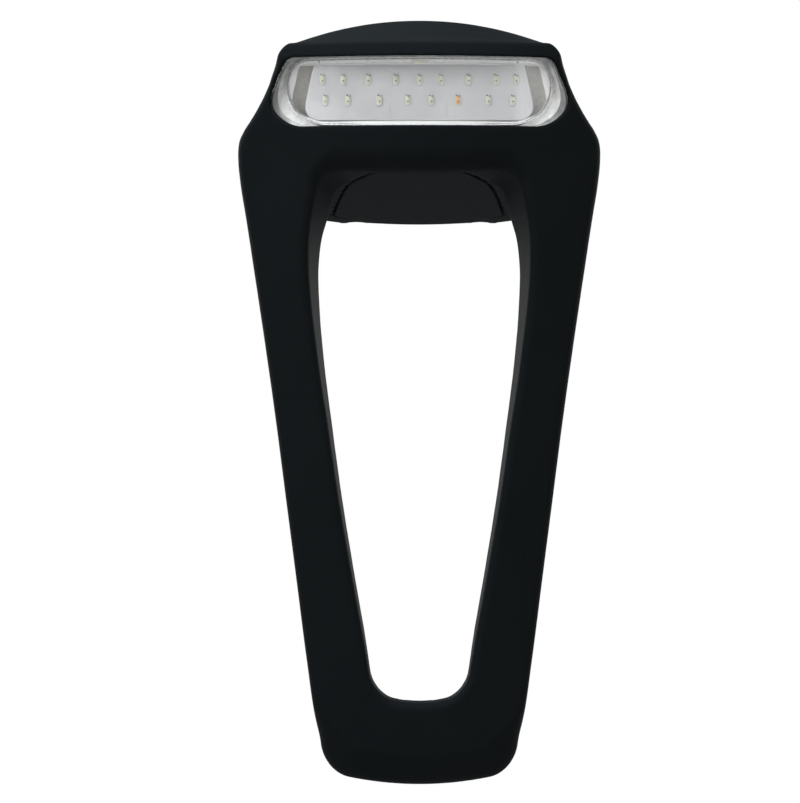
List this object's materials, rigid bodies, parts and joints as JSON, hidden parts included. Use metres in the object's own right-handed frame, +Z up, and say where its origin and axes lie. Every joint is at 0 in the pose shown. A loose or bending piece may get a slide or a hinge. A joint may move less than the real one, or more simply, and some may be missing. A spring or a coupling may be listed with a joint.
{
  "type": "bicycle light",
  "caption": "Small rechargeable bicycle light in a silicone skin, with a wide clear wrap-round lens, a push button dome, a charging-port flap and a stretch strap loop that hooks round a bar.",
  "frame": {"origin": "on the axis of the round bar that the head's saddle sits on, half way along the saddle", "axes": "+X along the bar to the right seen from the front, +Z up, the lens faces -Y"},
  "size_m": [0.0366, 0.0251, 0.0784],
  "materials": {
    "silicone": "matte",
    "clear_lens": "clear polished",
    "gasket": "matte",
    "housing": "fine moulded texture",
    "reflector": "satin pale",
    "white_board": "white solder mask",
    "phosphor": "pale yellow resin",
    "amber_chip": "amber resin",
    "green_board": "green solder mask",
    "chip_black": "moulded epoxy",
    "ferrite": "sintered ferrite",
    "capacitor": "ceramic",
    "gold_pin": "gold plated",
    "steel": "drawn sheet",
    "switch_plastic": "moulded",
    "key_plastic": "moulded",
    "battery_foil": "laminated foil",
    "wire_red": "extruded insulation",
    "wire_black": "extruded insulation",
    "foam": "closed-cell foam"
  },
  "bodies": {
    "head": {"silicone_sleeve": "silicone", "lens": "clear_lens", "lens_gasket": "gasket", "front_housing": "housing", "rear_housing": "housing", "housing_seal": "gasket", "side_reflectors": "reflector", "light_board": "white_board", "light_chips": "phosphor", "charge_indicator_chip": "amber_chip", "main_board": "green_board", "controller_chip": "chip_black", "charger_chip": "chip_black", "boost_inductor": "ferrite", "chip_capacitors": "capacitor", "board_link_pins": "gold_pin", "tact_switch_body": "switch_plastic", "tact_switch_cover": "steel", "battery_cell": "battery_foil", "battery_protection_board": "green_board", "battery_lead_red": "wire_red", "battery_lead_black": "wire_black", "battery_foam_pad": "foam", "socket_shell": "steel", "socket_tongue": "chip_black", "socket_contacts": "gold_pin"},
    "strap": {"strap_loop": "silicone"},
    "button": {"button_dome": "silicone", "button_key": "key_plastic"},
    "plunger": {"tact_switch_plunger": "key_plastic"},
    "flap": {"port_flap": "silicone"}
  },
  "joints": [
    {"name": "strap_swing", "type": "hinge", "parent": "head", "child": "strap", "pos_m": [0, -0.01801, -0.0112], "axis": [1, 0, 0], "range_deg": [0, 90], "stiffness_Nm_per_rad": 0.004},
    {"name": "button_press", "type": "slide", "parent": "head", "child": "button", "axis": [0, 0, -1], "range_m": [0, 0.0006], "stiffness_N_per_m": 1500},
    {"name": "switch_plunger_travel", "type": "slide", "parent": "head", "child": "plunger", "axis": [0, 0, -1], "range_m": [0, 0.0003]},
    {"name": "port_flap_hinge", "type": "hinge", "parent": "head", "child": "flap", "pos_m": [0, -0.0264, -0.00606], "axis": [-1, 0, 0], "range_deg": [0, 100], "stiffness_Nm_per_rad": 0.0008, "springref_deg": -17.19}
  ],
  "couplings": [
    {"joint": "switch_plunger_travel", "follows": "button_press", "ratio": 0.5}
  ]
}
